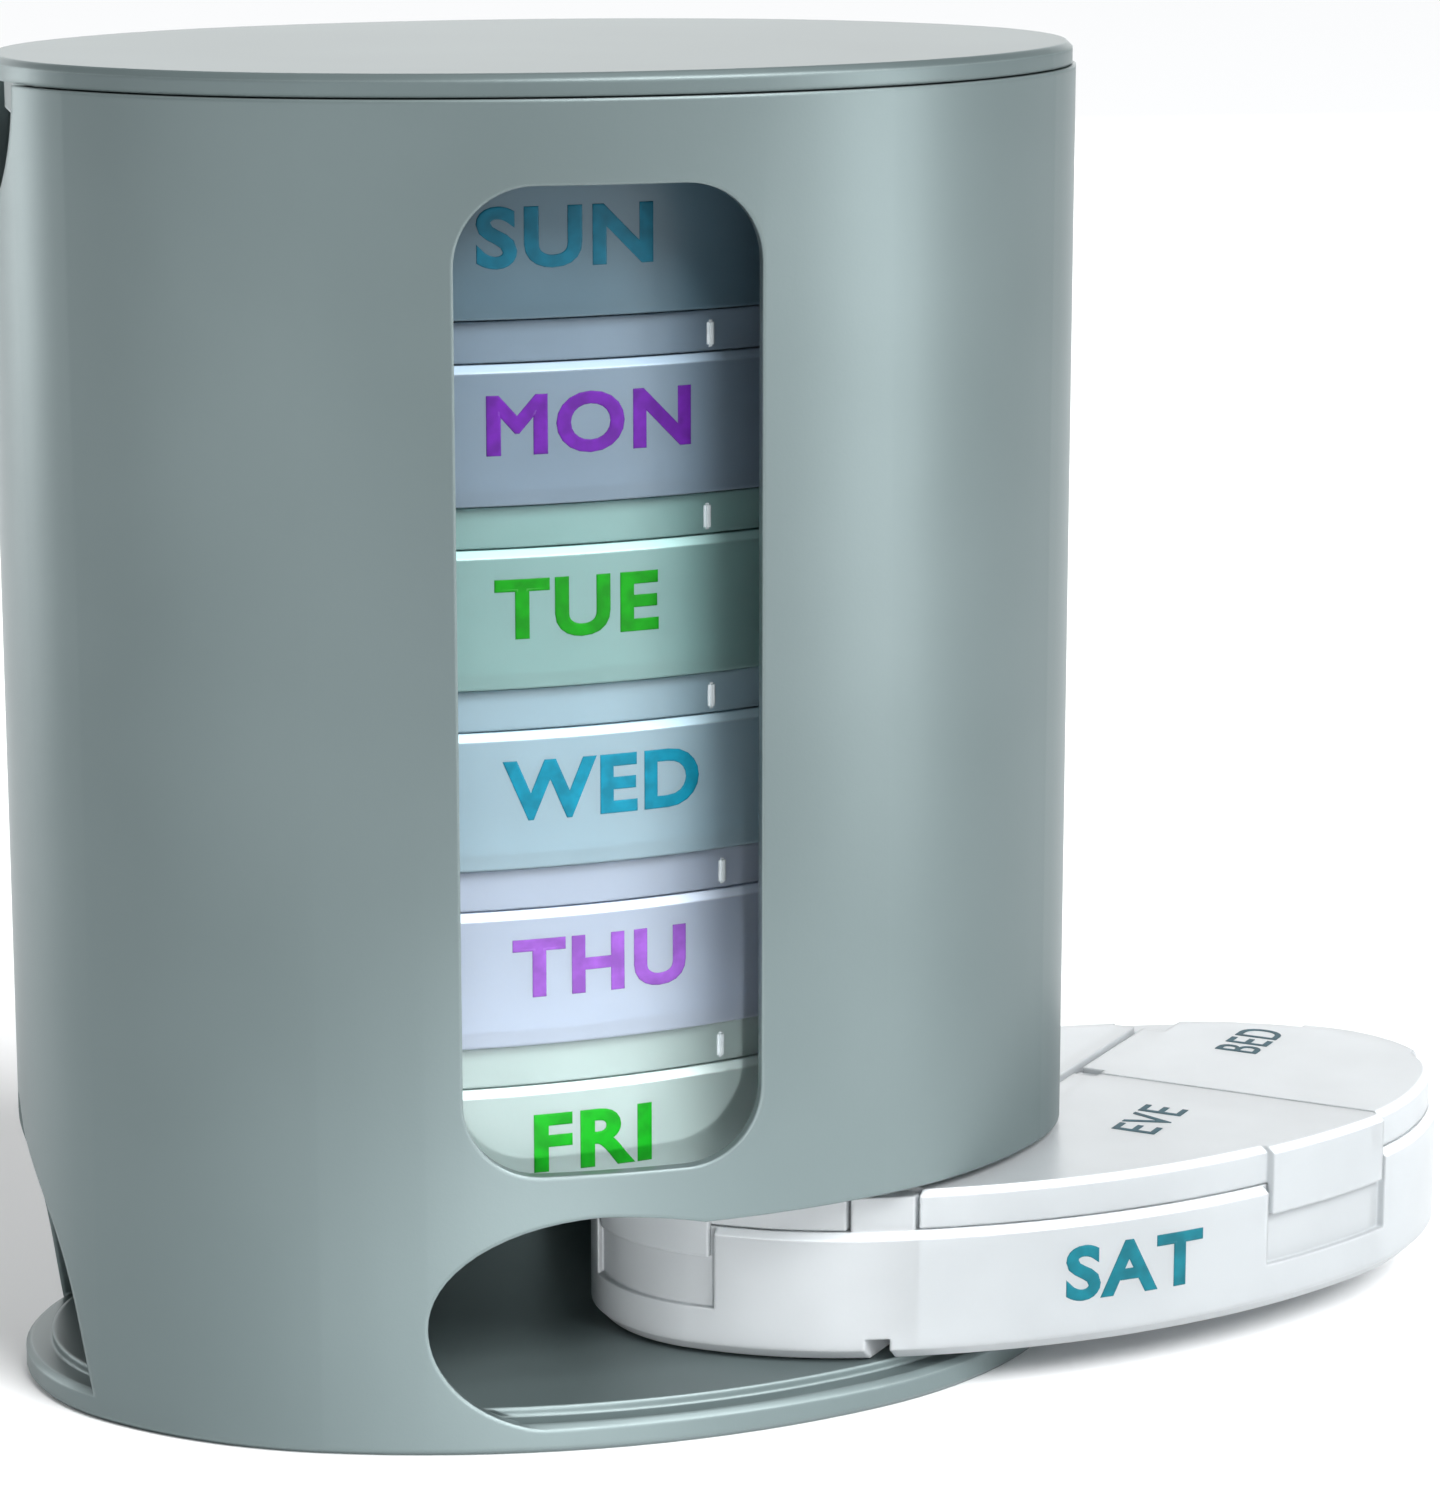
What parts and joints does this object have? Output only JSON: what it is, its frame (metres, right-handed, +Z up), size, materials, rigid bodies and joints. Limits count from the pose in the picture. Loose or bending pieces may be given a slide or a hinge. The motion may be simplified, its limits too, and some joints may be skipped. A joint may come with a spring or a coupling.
{
  "type": "pill organizer",
  "caption": "Oval tower with a window and a lift-off lid that holds a stack of oval trays with hinged lids; the bottom tray slides out at one end.",
  "frame": {"origin": "on the tower's axis, at the middle of its flat underside", "axes": "+X along the tower's long axis, towards the exit that the bottom tray slides out of; +Y towards the back, away from the window; +Z up"},
  "size_m": [0.1724, 0.0784, 0.15],
  "materials": {
    "tower": "satin",
    "tower_lid": "satin",
    "tray_sat": "frosted, translucent",
    "tray_fri": "frosted, translucent",
    "tray_thu": "frosted, translucent",
    "tray_wed": "frosted, translucent",
    "tray_tue": "frosted, translucent",
    "tray_mon": "frosted, translucent",
    "tray_sun": "frosted, translucent"
  },
  "bodies": {
    "tower": {"tower_body": "tower"},
    "tray_sat": {"tray_box_sat": "tray_sat", "lid_sat_morn": "tray_sat", "lid_sat_noon": "tray_sat", "lid_sat_eve": "tray_sat"},
    "lid_sat_bed": {"lid_sat_bed": "tray_sat"},
    "tray_fri": {"tray_box_fri": "tray_fri", "lid_fri_morn": "tray_fri", "lid_fri_noon": "tray_fri", "lid_fri_eve": "tray_fri", "lid_fri_bed": "tray_fri"},
    "tray_thu": {"tray_box_thu": "tray_thu", "lid_thu_morn": "tray_thu", "lid_thu_noon": "tray_thu", "lid_thu_eve": "tray_thu", "lid_thu_bed": "tray_thu"},
    "tray_wed": {"tray_box_wed": "tray_wed", "lid_wed_morn": "tray_wed", "lid_wed_noon": "tray_wed", "lid_wed_eve": "tray_wed", "lid_wed_bed": "tray_wed"},
    "tray_tue": {"tray_box_tue": "tray_tue", "lid_tue_morn": "tray_tue", "lid_tue_noon": "tray_tue", "lid_tue_eve": "tray_tue", "lid_tue_bed": "tray_tue"},
    "tray_mon": {"tray_box_mon": "tray_mon", "lid_mon_morn": "tray_mon", "lid_mon_noon": "tray_mon", "lid_mon_eve": "tray_mon", "lid_mon_bed": "tray_mon"},
    "tray_sun": {"tray_box_sun": "tray_sun", "lid_sun_morn": "tray_sun", "lid_sun_noon": "tray_sun", "lid_sun_eve": "tray_sun", "lid_sun_bed": "tray_sun"},
    "tower_lid": {"tower_lid": "tower_lid"}
  },
  "joints": [
    {"name": "tray_sat_slide", "type": "slide", "parent": "tower", "child": "tray_sat", "axis": [1, 0, 0], "range_m": [-0.0577, 0.06]},
    {"name": "lid_sat_bed_hinge", "type": "hinge", "parent": "tray_sat", "child": "lid_sat_bed", "pos_m": [0.05892, -0.00103, 0.02265], "axis": [-0.6448, -0.7643, 0], "range_deg": [0, 105]},
    {"name": "tray_fri_lift", "type": "slide", "parent": "tower", "child": "tray_fri", "axis": [0, 0, 1], "range_m": [0, 0.125]},
    {"name": "tray_thu_lift", "type": "slide", "parent": "tray_fri", "child": "tray_thu", "axis": [0, 0, 1], "range_m": [0, 0.025]},
    {"name": "tray_wed_lift", "type": "slide", "parent": "tray_thu", "child": "tray_wed", "axis": [0, 0, 1], "range_m": [0, 0.025]},
    {"name": "tray_tue_lift", "type": "slide", "parent": "tray_wed", "child": "tray_tue", "axis": [0, 0, 1], "range_m": [0, 0.025]},
    {"name": "tray_mon_lift", "type": "slide", "parent": "tray_tue", "child": "tray_mon", "axis": [0, 0, 1], "range_m": [0, 0.025]},
    {"name": "tray_sun_lift", "type": "slide", "parent": "tray_mon", "child": "tray_sun", "axis": [0, 0, 1], "range_m": [0, 0.025]},
    {"name": "tower_lid_lift", "type": "slide", "parent": "tray_sun", "child": "tower_lid", "axis": [0, 0, 1], "range_m": [0, 0.03]}
  ]
}
